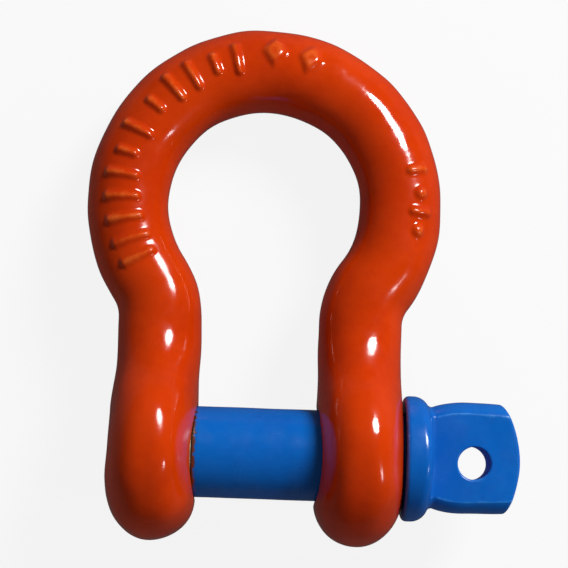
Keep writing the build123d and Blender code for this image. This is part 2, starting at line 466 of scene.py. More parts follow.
bow_surface = Surface()
bow_ids = bow_surface.add_points(in_world(bow_x, bow_y, bow_depth), relief=relief, edge=mark_rim)
kept = np.ones((row_count - 1, column_count), bool)
for ear_side in (1, -1):
    first_row, last_row = ear_rows(ear_side)
    for first_column, last_column in (OUTER_COLUMNS, INNER_COLUMNS):
        kept[first_row:last_row, np.arange(first_column, last_column) % column_count] = False
bow_surface.add_faces(grid_quads(bow_ids)[kept])
tips = in_world(np.array([EAR_TIP_X, -EAR_TIP_X]), np.full(2, -EAR_RADIUS), np.zeros(2))
tip_ids = bow_surface.add_points(tips)
bow_surface.add_faces(pole_fan(tip_ids[0], bow_ids[0]))
bow_surface.add_faces(pole_fan(tip_ids[1], bow_ids[-1])[:, ::-1])
print("faces left out for the windows in the ears:", int((~kept).sum()))

# %% [markdown]
# A hole's small grid has five stretches: from the window in to the rim, over the rim's rounded lip, along
# the wall, over the second lip and out to the second window. In the first and last stretch the points move
# in straight lines from the window's edge to a circle, and the ear's own face function says how far out
# they lie, so the patch follows the ear exactly.

# %% Sizes of the holes through the ears
FACE_ROWS = 7
LIP_ROWS = 4
CLEAR_RADIUS = 13.5
CLEAR_LIP = 0.8
CLEAR_WALL_ROWS = 12
TAPPED_MOUTH_RADIUS = 13.3
TAPPED_LIP = 0.45
TAPPED_MAJOR_RADIUS = 12.75
TAPPED_MINOR_RADIUS = 11.0
TAPPED_AIR = 0.08
LEAST_SINK = 0.05
TAPPED_WALL_ROWS = 96
RIM_STEPS = 12


# %% Rims of the holes
def hole_point(radius, turn):
    """Height and depth, in the bow's plane, of a point at a radius and a turn about the pin's axis."""
    return bore_y + radius * np.cos(turn), bore_depth + radius * np.sin(turn)


def ear_face(y, depth, side, way):
    """Distance of an ear's face from the bow's middle, with the collar's seat cut in the right ear."""
    x = ear_face_x(y, depth, way)
    if side > 0 and way > 0:
        x = x - np.maximum(x - SEAT_X, 0) * (np.hypot(y - bore_y, depth - bore_depth) < SEAT_RADIUS)
    return x


def tapped_rim(turn, way):
    """Radius where a 45 degree countersink meets the ear's sloping face, found by a few repeated steps."""
    rim = np.full(turn.shape, TAPPED_MOUTH_RADIUS)
    crest = EAR_OUTER_X if way > 0 else EAR_INNER_X
    for _ in range(RIM_STEPS):
        drop = np.abs(crest - ear_face_x(*hole_point(rim, turn), way))
        rim = np.maximum(TAPPED_MOUTH_RADIUS - drop, TAPPED_MAJOR_RADIUS + LEAST_SINK)
    return rim


# %% Cut the holes
def cut_hole(side):
    """Joins an ear's two windows by a hole: plain on the right, tapped on the left."""
    first_row, last_row = ear_rows(side)
    loop_rows, outer_columns = window_loop((first_row, last_row), OUTER_COLUMNS)
    start_ids = bow_ids[loop_rows, outer_columns % column_count]
    end_ids = bow_ids[loop_rows, (UPPER_COLUMNS - outer_columns) % column_count]
    edge_y = bow_y[loop_rows, outer_columns % column_count]
    edge_depth = bow_depth[loop_rows, outer_columns % column_count]
    turn = np.arctan2(edge_depth - bore_depth, edge_y - bore_y)
    lip = CLEAR_LIP if side > 0 else TAPPED_LIP

    def face_stretch(way):
        """Straight lines from the window's edge to the rim's circle, then a quarter turn over the lip."""
        rim = np.full(turn.shape, CLEAR_RADIUS) if side > 0 else tapped_rim(turn, way)
        share = np.linspace(0, 1, FACE_ROWS + 1)[1:, None]
        end_y, end_depth = hole_point(rim + lip, turn)
        y = edge_y * (1 - share) + end_y * share
        depth = edge_depth * (1 - share) + end_depth * share
        bend = np.linspace(0, math.pi / 2, LIP_ROWS + 1)[1:, None]
        lip_y, lip_depth = hole_point(rim + lip * (1 - np.sin(bend)), turn)
        lip_x = ear_face(lip_y, lip_depth, side, way) - way * lip * (1 - np.cos(bend))
        x = np.concatenate([ear_face(y, depth, side, way), lip_x])
        return x, np.concatenate([y, lip_y]), np.concatenate([depth, lip_depth]), rim

    outer_x, outer_y, outer_depth, outer_rim = face_stretch(1)
    inner_x, inner_y, inner_depth, inner_rim = face_stretch(-1)
    wall_rows = CLEAR_WALL_ROWS if side > 0 else TAPPED_WALL_ROWS
    share = np.linspace(0, 1, wall_rows + 2)[1:-1, None]
    wall_x = outer_x[-1] * (1 - share) + inner_x[-1] * share
    if side > 0:
        wall_radius = np.full(wall_x.shape, CLEAR_RADIUS)
    else:
        tapped_limits = TAPPED_MINOR_RADIUS, TAPPED_MAJOR_RADIUS
        wall_radius = thread_radius(-wall_x, turn - lean, TAPPED_AIR, *tapped_limits)
        outer_sink = outer_rim - (outer_x[-1] - wall_x)
        inner_sink = inner_rim - (wall_x - inner_x[-1])
        wall_radius = np.maximum(wall_radius, np.maximum(outer_sink, inner_sink))
    wall_y, wall_depth = hole_point(wall_radius, turn)
    x = np.concatenate([outer_x, wall_x, inner_x[::-1]])
    y = np.concatenate([outer_y, wall_y, inner_y[::-1]])
    depth = np.concatenate([outer_depth, wall_depth, inner_depth[::-1]])
    rows_in = np.minimum(np.arange(len(x)), np.arange(len(x))[::-1])
    bare = np.clip((rows_in - FACE_ROWS + 1) / LIP_ROWS, 0, 1)[:, None]
    new_ids = bow_surface.add_points(in_world(side * x, y, depth), bare=bare)
    bow_surface.add_faces(grid_quads(np.concatenate([start_ids[None], new_ids, end_ids[None]]))[..., ::-1])


cut_hole(1)
cut_hole(-1)
bow_piece = bow_surface.make("forged_bow")

# %% [markdown]
# A forging is never as smooth as its drawing. Its surface has shallow hollows a centimetre or so across,
# and these are what break up a lamp's reflection in the paint. Every point is moved along its normal by a
# sum of a few sine waves that run in different directions through space. The raised marks move out in the
# same step. The holes' walls are machined, so they stay as they are.

# %% Forged unevenness
WAVES_MM = ((11.0, 7.0, -5.0), (-6.0, 13.0, 4.0), (4.5, 3.5, 8.0), (-9.0, -5.5, 15.0), (3.1, -4.6, -3.9))
WAVE_HEIGHTS = (0.070, 0.075, 0.030, 0.055, 0.016)


def waves(points_mm):
    """Sum of sine waves along vectors in millimetres, each as long as its wave.

    Each wave starts at its own number in radians, so that they don't all begin together.
    """
    total = np.zeros(len(points_mm))
    for number, (wave, height) in enumerate(zip(WAVES_MM, WAVE_HEIGHTS)):
        vector = np.array(wave)
        total += height * np.sin(2 * math.pi * (points_mm @ vector) / (vector @ vector) + number)
    return total


def read_points(mesh, label, width):
    """The places, the normals or a kept value of a mesh's points, as a table with so many columns."""
    table = np.zeros(len(mesh.vertices) * width, np.float32)
    if label in ("co", "normal"):
        mesh.vertices.foreach_get(label, table)
    else:
        mesh.attributes[label].data.foreach_get("value", table)
    return table.reshape(-1, width)


def move_along_normals(piece, height_mm):
    """Moves every point of a piece along its normal, by a height of its own in millimetres."""
    mesh = piece.data
    points = read_points(mesh, "co", 3) + read_points(mesh, "normal", 3) * height_mm[:, None] * MM
    mesh.vertices.foreach_set("co", points.astype(np.float32).ravel())
    mesh.update()


bow_points = read_points(bow_piece.data, "co", 3) / MM
painted = 1 - read_points(bow_piece.data, "bare", 1)[:, 0]
bow_height = waves(bow_points) * painted + read_points(bow_piece.data, "relief", 1)[:, 0]
move_along_normals(bow_piece, bow_height)
print("bow's skin moved by", round(bow_height.min(), 2), "to", round(bow_height.max(), 2), "mm")
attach(bow_piece, "bow")
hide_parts("bow")

# %% [markdown]
# The pin is turned and then forged flat at its end. From the left it has a thread, a plain shank, a collar
# with an outer edge rounded most beside the tab, and a flat tab with a hole. One grid covers it all, from the
# thread's end to the tab's tip. Up to the collar every ring is a circle. In the tab a ring is a rectangle
# with rounded sides that meet the flats in a soft line, given as a radius for each angle. The columns
# stand closest where that line runs.

# %% Sizes of thread, shank and collar
PIN_RADIUS = 12.7
PIN_END_X = -40.5
PIN_END_CHAMFER = 1.6
THREAD_ROOT = 10.8
THREAD_CREST = 12.62
SHANK_START_X = -17.4
PAINT_THIN_X = -15.2
PAINT_END_X = -18.4
COLLAR_RADIUS = 17.5
COLLAR_WIDTH = 7.3
COLLAR_SIDE_ROUND = 4.7
COLLAR_TOP_ROUND = 2.2
COLLAR_SEAT_ROUND = 1.4

# %% Sizes of the tab
TAB_HALF_THICKNESS = 6.35
TAB_UNCUT_HALF = 7.1
TAB_EDGE_ROUND = 6.3
TAB_ARRIS_SOFT = 0.22
TAB_MIDDLE_Y = 0.7
TAB_ROOT_X = 45.0
TAB_ROOT_HALF = 11.9
TAB_BULGE_X = 58.8
TAB_BULGE_HALF = 15.6
TAB_CORNER_X = 69.2
TAB_CORNER_HALF = 15.1
TAB_END_SLANT = 0.7
TAB_TIP_X = 73.3
TAB_END_ROUND = 0.8
TAB_FILLET = 1.8
TAB_TURN_DEG = -6.0

# %% Columns of the pin
QUARTER_COLUMNS = (0, 12, 54, 80)
QUARTER_DEG = (0, 24, 41, 90)

quarter = np.radians(np.interp(np.arange(QUARTER_COLUMNS[-1] + 1), QUARTER_COLUMNS, QUARTER_DEG))
half_turn = np.concatenate([quarter[:-1], math.pi - quarter[:0:-1]])
pin_turn = -np.concatenate([half_turn, math.pi + half_turn])
PIN_COLUMNS = len(pin_turn)
tab_turn = math.radians(TAB_TURN_DEG)
tab_cos = np.cos(pin_turn)
tab_sin = np.sin(pin_turn)
print("columns of the pin:", PIN_COLUMNS)


# %% Thread, shank and the collar's seat
def flat_rows(x, radius):
    """Rows of circles, as tables of x and radius for every column."""
    x, radius = np.broadcast_arrays(np.asarray(x, float), np.asarray(radius, float))
    wide = np.ones((len(x), PIN_COLUMNS))
    return x[:, None] * wide, radius[:, None] * wide


END_FACE_ROWS = 6
THREAD_STEP = 0.2
SHANK_ROWS = 40
SEAT_ROWS = 8
SEAT_ROUND_ROWS = 6

end_radius = PITCH_RADIUS - PIN_END_CHAMFER
end_rows = flat_rows(PIN_END_X, np.linspace(0, end_radius, END_FACE_ROWS + 1)[1:-1])
thread_x = np.arange(PIN_END_X, SHANK_START_X, THREAD_STEP)[:, None]
cut_thread = thread_radius(thread_x, pin_turn + tab_turn, 0, THREAD_ROOT, THREAD_CREST)
cut_thread = np.minimum(cut_thread, end_radius + thread_x - PIN_END_X)
cut_thread = np.maximum(cut_thread, PIN_RADIUS - (SHANK_START_X - thread_x))
thread_rows = np.broadcast_to(thread_x, cut_thread.shape), cut_thread
shank_rows = flat_rows(np.linspace(SHANK_START_X, SEAT_X, SHANK_ROWS), PIN_RADIUS)
seat_rows = flat_rows(SEAT_X, np.linspace(PIN_RADIUS, COLLAR_RADIUS - COLLAR_SEAT_ROUND, SEAT_ROWS + 1)[1:])
seat_bend = np.linspace(0, math.pi / 2, SEAT_ROUND_ROWS + 1)[1:]
seat_round_rows = flat_rows(
    SEAT_X + COLLAR_SEAT_ROUND * (1 - np.cos(seat_bend)),
    COLLAR_RADIUS - COLLAR_SEAT_ROUND * (1 - np.sin(seat_bend)),
)
print("rows along the thread:", len(thread_x))

# %% [markdown]
# The tab's outline has a straight line from each corner to the bulge, an arc from there to the root, and
# an arched end. Where the tab leaves the collar there is a small hollow fillet. Its place depends on the
# direction: across the tab's thin way it sits on the collar's flat end, and along its wide way it sits on
# the collar's rounded edge. Either way its centre is one fillet radius from both surfaces, which gives the
# formula below.

# %% Tab outline
LEAST_SHARE = 1e-6


def circle_through(points):
    """Centre and radius of the circle through three points."""
    (x1, y1), (x2, y2), (x3, y3) = points
    lines = np.array([[x2 - x1, y2 - y1], [x3 - x1, y3 - y1]])
    sums = np.array([x2**2 - x1**2 + y2**2 - y1**2, x3**2 - x1**2 + y3**2 - y1**2]) / 2
    centre = np.linalg.solve(lines, sums)
    return centre, math.hypot(x1 - centre[0], y1 - centre[1])


tab_side = np.where(tab_cos >= 0, 1, -1)
corner_x = TAB_CORNER_X - tab_side * TAB_END_SLANT
end_centre, end_arc_radius = circle_through(
    [
        (TAB_CORNER_X - TAB_END_SLANT, TAB_MIDDLE_Y + TAB_CORNER_HALF),
        (TAB_TIP_X, TAB_MIDDLE_Y),
        (TAB_CORNER_X + TAB_END_SLANT, TAB_MIDDLE_Y - TAB_CORNER_HALF),
    ]
)
slope = (TAB_CORNER_HALF - TAB_BULGE_HALF) / (corner_x - TAB_BULGE_X)
back_x, back_half = TAB_ROOT_X - TAB_BULGE_X, TAB_ROOT_HALF - TAB_BULGE_HALF
steepness = np.sqrt(1 + slope**2)
side_radius = (back_x**2 + back_half**2) * steepness / (2 * (slope * back_x - back_half))
side_centre_x = TAB_BULGE_X + side_radius * slope / steepness
side_centre_half = TAB_BULGE_HALF - side_radius / steepness


def tab_half_height(x):
    """The tab's side over the pin's axis: a straight line from corner to bulge, then a tangent arc."""
    straight = TAB_BULGE_HALF + slope * (x - TAB_BULGE_X)
    arc = side_centre_half + np.sqrt(np.maximum(side_radius**2 - (x - side_centre_x) ** 2, 0))
    return np.where(x > TAB_BULGE_X, straight, arc) + tab_side * TAB_MIDDLE_Y


def tip_x(ring):
    """The tab's end face: an arc across the tab's height, straight through its thickness."""
    return end_centre[0] + np.sqrt(end_arc_radius**2 - (ring * tab_cos - end_centre[1]) ** 2)


def tab_outline(x):
    """Two radii for every column: of a box with round corners, and of the flats pressed into it."""
    half = tab_half_height(x)
    across = np.maximum(np.abs(tab_cos), LEAST_SHARE)
    through = np.maximum(np.abs(tab_sin), LEAST_SHARE)
    box = np.minimum(half / across, TAB_UNCUT_HALF / through)
    middle_h, middle_t = half - TAB_EDGE_ROUND, TAB_UNCUT_HALF - TAB_EDGE_ROUND
    reach = across * middle_h + through * middle_t
    inside = reach**2 - (middle_h**2 + middle_t**2 - TAB_EDGE_ROUND**2)
    corner = reach + np.sqrt(np.maximum(inside, 0))
    at_corner = (box * across > middle_h) & (box * through > middle_t)
    return np.where(at_corner, corner, box), TAB_HALF_THICKNESS / through


def tab_ring(x):
    """The lesser of the two radii, with the line where they meet made soft.

    Where they differ by less than the soft width, the square of what is missing comes off, divided by four
    times that width.
    """
    rounded, pressed = tab_outline(x)
    near = np.maximum(TAB_ARRIS_SOFT - np.abs(rounded - pressed), 0)
    return np.minimum(rounded, pressed) - near**2 / (4 * TAB_ARRIS_SOFT)


# %% Collar and fillet
COLLAR_ROWS = 28
FILLET_ROWS = 8
FILLET_STEPS = 4

collar_end_x = SEAT_X + COLLAR_WIDTH
collar_round = COLLAR_SIDE_ROUND * tab_cos**2 + COLLAR_TOP_ROUND * tab_sin**2
round_x = collar_end_x - collar_round
round_radius = COLLAR_RADIUS - collar_round

root_x = np.full(PIN_COLUMNS, collar_end_x + TAB_FILLET)
for _ in range(FILLET_STEPS):
    root_radius = tab_ring(root_x)
    fillet_radius = root_radius + TAB_FILLET
    over = np.maximum(fillet_radius - round_radius, 0)
    root_x = round_x + np.sqrt((collar_round + TAB_FILLET) ** 2 - over**2)
meet_angle = np.arctan2(over, root_x - round_x)

arc_length = collar_round * (math.pi / 2 - meet_angle)
flat_length = np.maximum(round_radius - fillet_radius, 0)
walked = np.linspace(0, 1, COLLAR_ROWS + 1)[:, None] * (arc_length + flat_length)
collar_angle = np.maximum(math.pi / 2 - walked / collar_round, 0)
collar_x = round_x + collar_round * np.cos(collar_angle)
collar_radius = round_radius + collar_round * np.sin(collar_angle) - np.maximum(walked - arc_length, 0)

fillet_start = math.pi + meet_angle
fillet_angle = fillet_start + (1.5 * math.pi - fillet_start) * np.linspace(0, 1, FILLET_ROWS + 1)[1:, None]
fillet_x = root_x + TAB_FILLET * np.cos(fillet_angle)
fillet_ring = fillet_radius + TAB_FILLET * np.sin(fillet_angle)
print("the fillet ends at x", round(root_x.min(), 1), "to", round(root_x.max(), 1), "mm")

# %% Tab and tip
TAB_ROWS = 46
TAB_END_ROWS = 6
TIP_ROWS = 10
END_STEPS = 6

end_x = corner_x
for _ in range(END_STEPS):
    end_ring = tab_ring(end_x)
    end_x = tip_x(end_ring) - TAB_END_ROUND
share = np.linspace(0, 1, TAB_ROWS + 1)[1:, None]
tab_x = root_x * (1 - share) + end_x * share
tab_radius = tab_ring(tab_x)

end_bend = np.linspace(0, math.pi / 2, TAB_END_ROWS + 1)[1:, None]
rounded_ring = end_ring - TAB_END_ROUND * (1 - np.cos(end_bend))
tip_ring = rounded_ring[-1] * np.linspace(1, 0, TIP_ROWS + 1)[1:-1, None]
rounded_x = tip_x(rounded_ring) - TAB_END_ROUND * (1 - np.sin(end_bend))

# %% All rows of the pin
stretches = [
    end_rows,
    thread_rows,
    shank_rows,
    seat_rows,
    seat_round_rows,
    (collar_x, collar_radius),
    (fillet_x, fillet_ring),
    (tab_x, tab_radius),
    (rounded_x, rounded_ring),
    (tip_x(tip_ring), tip_ring),
]
pin_x, pin_radius = (np.concatenate(tables) for tables in zip(*stretches))
pin_height = pin_radius * tab_cos
pin_depth = pin_radius * tab_sin
print("the pin has", len(pin_x), "rows")

# %% [markdown]
# The tab has a drilled hole for a wire or a steel bar. It is cut as the holes in the ears are: a window in
# each flat, and a small grid from the one, over the hole's lip, along its wall and over the other lip to the
# other. The pin's columns start at one side of the tab and run by its lower flat to its other side, so the
# upper flat comes three quarters of the way round.

# %% Windows for the tab's hole
TAB_HOLE_X = 60.7
TAB_HOLE_Y = -0.8
HOLE_WINDOW_HALF = 7.6
HOLE_WINDOW_COLUMNS = 26

top_column = 3 * PIN_COLUMNS // 4
tab_first = len(pin_x) - TIP_ROWS + 1 - TAB_END_ROWS - TAB_ROWS
tab_middle_x = pin_x[tab_first:tab_first + TAB_ROWS, top_column]
window_rows = (
    tab_first + int(np.argmin(np.abs(tab_middle_x - TAB_HOLE_X + HOLE_WINDOW_HALF))),
    tab_first + int(np.argmin(np.abs(tab_middle_x - TAB_HOLE_X - HOLE_WINDOW_HALF))),
)
top_columns = (top_column - HOLE_WINDOW_COLUMNS, top_column + HOLE_WINDOW_COLUMNS)
bottom_columns = (PIN_COLUMNS - top_columns[1], PIN_COLUMNS - top_columns[0])
print("the hole's windows take rows", window_rows[0], "to", window_rows[1])

# %% Skin of the pin, with its windows
EDGE_REACH = 0.5


def turned(x, height, depth):
    """Points of the pin in the row frame: the whole pin is turned about its axis as it was screwed home."""
    cosine, sine = math.cos(tab_turn), math.sin(tab_turn)
    return np.stack([x, height * cosine - depth * sine, height * sine + depth * cosine], -1)


paint_lost = smooth_step((PAINT_THIN_X - pin_x) / (PAINT_THIN_X - PAINT_END_X))
rounded, pressed = tab_outline(pin_x)
# The tab's arris gets the edge value, so a brighter tone paints a highlight line along it, with paint dulled
# by rubbing.
tab_edge = np.clip(1 - np.abs(rounded - pressed) / EDGE_REACH, 0, 1) * (pin_x > collar_end_x + TAB_FILLET)
pin_surface = Surface()
pin_ids = pin_surface.add_points(turned(pin_x, pin_height, pin_depth), bare=paint_lost, edge=tab_edge)
kept = np.ones((len(pin_x) - 1, PIN_COLUMNS), bool)
for first_column, last_column in (top_columns, bottom_columns):
    kept[window_rows[0]:window_rows[1], first_column:last_column] = False
pin_surface.add_faces(grid_quads(pin_ids)[kept])
tip_on_axis = end_centre[0] + math.sqrt(end_arc_radius**2 - end_centre[1] ** 2)
poles = turned(np.array([PIN_END_X, tip_on_axis]), np.zeros(2), np.zeros(2))
pole_ids = pin_surface.add_points(poles, bare=np.array([1.0, 0.0]))
pin_surface.add_faces(pole_fan(pole_ids[0], pin_ids[0]))
pin_surface.add_faces(pole_fan(pole_ids[1], pin_ids[-1])[:, ::-1])

# %% Lips and wall of the tab's hole
TAB_HOLE_RADIUS = 4.6
TAB_HOLE_LIP = 0.5
HOLE_FACE_ROWS = 6
HOLE_LIP_ROWS = 6
HOLE_WALL_ROWS = 10

loop_rows, loop_columns = window_loop(window_rows, top_columns)
start_ids = pin_ids[loop_rows, loop_columns]
end_ids = pin_ids[loop_rows, PIN_COLUMNS - loop_columns]
edge_x = pin_x[loop_rows, loop_columns]
edge_height = pin_height[loop_rows, loop_columns]
round_turn = np.arctan2(edge_height - TAB_HOLE_Y, edge_x - TAB_HOLE_X)
share = np.linspace(0, 1, HOLE_FACE_ROWS + 1)[1:, None]
lip_reach = TAB_HOLE_RADIUS + TAB_HOLE_LIP
face_x = edge_x * (1 - share) + (TAB_HOLE_X + lip_reach * np.cos(round_turn)) * share
face_height = edge_height * (1 - share) + (TAB_HOLE_Y + lip_reach * np.sin(round_turn)) * share
bend = np.linspace(0, math.pi / 2, HOLE_LIP_ROWS + 1)[1:, None]
lip_radius = TAB_HOLE_RADIUS + TAB_HOLE_LIP * (1 - np.sin(bend))
lip_depth = TAB_HALF_THICKNESS - TAB_HOLE_LIP * (1 - np.cos(bend))
wall_depth = np.linspace(1, -1, HOLE_WALL_ROWS + 2)[1:-1, None] * (TAB_HALF_THICKNESS - TAB_HOLE_LIP)
radii = np.concatenate([lip_radius, np.full((HOLE_WALL_ROWS, 1), TAB_HOLE_RADIUS), lip_radius[::-1]])
depths = np.concatenate([lip_depth, wall_depth, -lip_depth[::-1]])
hole_x = np.concatenate([face_x, TAB_HOLE_X + radii * np.cos(round_turn), face_x[::-1]])
hole_height = np.concatenate([face_height, TAB_HOLE_Y + radii * np.sin(round_turn), face_height[::-1]])
face_depth = np.full((HOLE_FACE_ROWS, 1), TAB_HALF_THICKNESS)
hole_depth = np.concatenate([face_depth, depths, -face_depth]) * np.ones(len(round_turn))
rows_in = np.minimum(np.arange(len(hole_x)), np.arange(len(hole_x))[::-1])[:, None] - HOLE_FACE_ROWS
in_hole = np.clip(rows_in / HOLE_LIP_ROWS, 0, 1)
# Four times a share times what is left of it is 1 in the middle of the lip and 0 at both of its ends.
# As the lip's edge value it gives the lip a brighter tone, a painted highlight, and paint dulled by rubbing.
on_lip = 4 * in_hole * (1 - in_hole)
hole_ids = pin_surface.add_points(turned(hole_x, hole_height, hole_depth), hollow=in_hole, edge=on_lip)
pin_surface.add_faces(grid_quads(np.concatenate([start_ids[None], hole_ids, end_ids[None]]))[..., ::-1])
pin_piece = pin_surface.make("enamelled_pin")

# %% The pin's unevenness
TURNED_UNEVENNESS = 0.25

pin_points = read_points(pin_piece.data, "co", 3) / MM
pin_painted = 1 - read_points(pin_piece.data, "bare", 1)[:, 0]
in_tab = smooth_step((pin_points[:, 0] - collar_end_x) / TAB_FILLET)
unevenness = TURNED_UNEVENNESS + (1 - TURNED_UNEVENNESS) * in_tab
pin_move = waves(pin_points) * pin_painted * unevenness
move_along_normals(pin_piece, pin_move)
print("pin's skin moved by", round(pin_move.min(), 2), "to", round(pin_move.max(), 2), "mm")
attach(pin_piece, "screw_pin")
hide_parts("screw_pin")

# %% [markdown]
# Both paints are the same kind of finish, so what they share is built once, as node groups with named
# inputs and outputs. The first gives the fine unevenness of a sprayed enamel, the slight grain known as
# orange peel. The second mixes a thinner and a thicker tone of one colour in soft patches. The third finds
# where paint has chipped or thinned by wear near an edge, and where an edge gets a brighter tone that is
# partly wear and partly a painted highlight, with a crisp or a soft border.

# %% An empty node group
def new_group(name, inputs, outputs):
    """An empty shader node group; its sockets are given as names with their kinds, such as Float or Color."""
    group = bpy.data.node_groups.new(name, "ShaderNodeTree")
    for direction, sockets in (("INPUT", inputs), ("OUTPUT", outputs)):
        for label, kind in sockets.items():
            group.interface.new_socket(label, in_out=direction, socket_type="NodeSocket" + kind)
    return group, group.nodes.new("NodeGroupInput"), group.nodes.new("NodeGroupOutput")


# %% Node helpers
def feed(tree, socket, given):
    """Links another node's socket to this one, or sets this one's value."""
    if isinstance(given, bpy.types.NodeSocket):
        tree.links.new(given, socket)
    else:
        socket.default_value = given


def math_node(tree, operation, first, second):
    """A Math node of two inputs, each a socket to link or a number to set."""
    node = tree.nodes.new("ShaderNodeMath")
    node.operation = operation
    feed(tree, node.inputs[0], first)
    feed(tree, node.inputs[1], second)
    return node.outputs[0]


def noise_node(tree, vector, scale, detail=2.0, roughness=0.5):
    """A Noise Texture's value; its scale is how many patches there are in a metre."""
    node = tree.nodes.new("ShaderNodeTexNoise")
    tree.links.new(vector, node.inputs["Vector"])
    feed(tree, node.inputs["Scale"], scale)
    node.inputs["Detail"].default_value = detail
    node.inputs["Roughness"].default_value = roughness
    return node.outputs[0]


def range_node(tree, value, low, high, to_low=0.0, to_high=1.0, smooth=True):
    """A Map Range node from low and high to two new values."""
    node = tree.nodes.new("ShaderNodeMapRange")
    node.interpolation_type = "SMOOTHSTEP" if smooth else "LINEAR"
    tree.links.new(value, node.inputs["Value"])
    for label, given in (("From Min", low), ("From Max", high), ("To Min", to_low), ("To Max", to_high)):
        feed(tree, node.inputs[label], given)
    return node.outputs["Result"]


def mix_colours(tree, share, first, second):
    """A Mix node for colours; each input is a socket to link or a value to set."""
    node = tree.nodes.new("ShaderNodeMix")
    node.data_type = "RGBA"
    colour_sockets = [socket for socket in node.inputs if socket.type == "RGBA"]
    for socket, given in zip([node.inputs[0], *colour_sockets], (share, first, second)):
        feed(tree, socket, given)
    return next(socket for socket in node.outputs if socket.type == "RGBA")


def place_group(tree, group, **given):
    """Places a group in a material; given names its inputs, with underscores for spaces."""
    node = tree.nodes.new("ShaderNodeGroup")
    node.node_tree = group
    for label, value in given.items():
        feed(tree, node.inputs[label.replace("_", " ")], value)
    return node


# %% Group for the enamel's fine unevenness
PEEL_SHARE = 0.12

peel_group, group_in, group_out = new_group(
    "enamel_peel",
    {"Vector": "Vector", "Peel Size": "Float", "Sag Size": "Float"},
    {"Height": "Float", "Patches": "Float"},
)
peel = noise_node(peel_group, group_in.outputs["Vector"], group_in.outputs["Peel Size"], detail=1.0)
sag = noise_node(peel_group, group_in.outputs["Vector"], group_in.outputs["Sag Size"], detail=2.0)
peel_part = math_node(peel_group, "MULTIPLY", peel, PEEL_SHARE)
peel_group.links.new(math_node(peel_group, "ADD", peel_part, sag), group_out.inputs["Height"])
peel_group.links.new(sag, group_out.inputs["Patches"])

# %% Group for soft patches of tone
BROAD_SIZE = 32.0
FINE_SIZE = 420.0
BROAD_SHARE = 0.75
NOISE_LOW = 0.36
NOISE_HIGH = 0.64

tone_group, group_in, group_out = new_group(
    "paint_tone",
    {"Vector": "Vector", "Thin": "Color", "Thick": "Color"},
    {"Color": "Color"},
)
broad = noise_node(tone_group, group_in.outputs["Vector"], BROAD_SIZE, detail=3.0)
fine = noise_node(tone_group, group_in.outputs["Vector"], FINE_SIZE, detail=3.0)
broad_part = math_node(tone_group, "MULTIPLY", broad, BROAD_SHARE)
fine_part = math_node(tone_group, "MULTIPLY", fine, 1 - BROAD_SHARE)
both_parts = math_node(tone_group, "ADD", broad_part, fine_part)
tone_share = range_node(tone_group, both_parts, NOISE_LOW, NOISE_HIGH)
mixed = mix_colours(tone_group, tone_share, group_in.outputs["Thin"], group_in.outputs["Thick"])
tone_group.links.new(mixed, group_out.inputs["Color"])

# %% Group for chips and bare patches
CHIP_GRAIN = 0.6

chip_and_highlight_group, group_in, group_out = new_group(
    "paint_chips_and_highlights",
    {"Vector": "Vector", "Near Edge": "Float", "Size": "Float", "Softness": "Float"},
    {"Mask": "Float"},
)
vector, size = group_in.outputs["Vector"], group_in.outputs["Size"]
grain = noise_node(chip_and_highlight_group, vector, size, detail=3.0, roughness=CHIP_GRAIN)
reach_sum = math_node(chip_and_highlight_group, "ADD", grain, group_in.outputs["Near Edge"])
mask_start = math_node(chip_and_highlight_group, "SUBTRACT", 1.0, group_in.outputs["Softness"])
mask_end = math_node(chip_and_highlight_group, "ADD", 1.0, group_in.outputs["Softness"])
chip_and_highlight_group.links.new(range_node(chip_and_highlight_group, reach_sum, mask_start, mask_end), group_out.inputs["Mask"])
print("groups:", peel_group.name, tone_group.name, chip_and_highlight_group.name)

# %% [markdown]
# Enamel is coloured paint under its own clear, glossy surface, so the Principled shader's ordinary
# reflection does the work: a low roughness, a little uneven, and no metal. Where the paint ends, in the
# thread and in the ears' holes, the same shader turns to steel by a value kept with the points. A second
# value marks the edges, where paint runs thin and dull from rubbing and a brighter tone paints the highlight
# that an edge catches, and a third the inside of the tab's hole, where no gloss forms. Sizes of patterns are
# given as patches in a metre.

# %% Enamel material
STEEL_TONE = (0.30, 0.27, 0.20, 1.0)
STEEL_ROUGHNESS = 0.42
ENAMEL_IOR = 1.52
PEEL_SIZE = 700.0
SAG_SIZE = 160.0
GLOSS_ROUGHNESS = 0.09
DULL_ROUGHNESS = 0.18
PATCH_LOW = 0.35
PATCH_HIGH = 0.65
RUBBED_ROUGHNESS = 0.34
HOLLOW_ROUGHNESS = 0.75
CHIP_SIZE = 650.0
CHIP_SOFTNESS = 0.02
RUB_HIGHLIGHT_SIZE = 300.0
RUB_HIGHLIGHT_SOFTNESS = 0.30
RUB_HIGHLIGHT_SHARE = 0.55
BUMP_DISTANCE_M = 0.00012


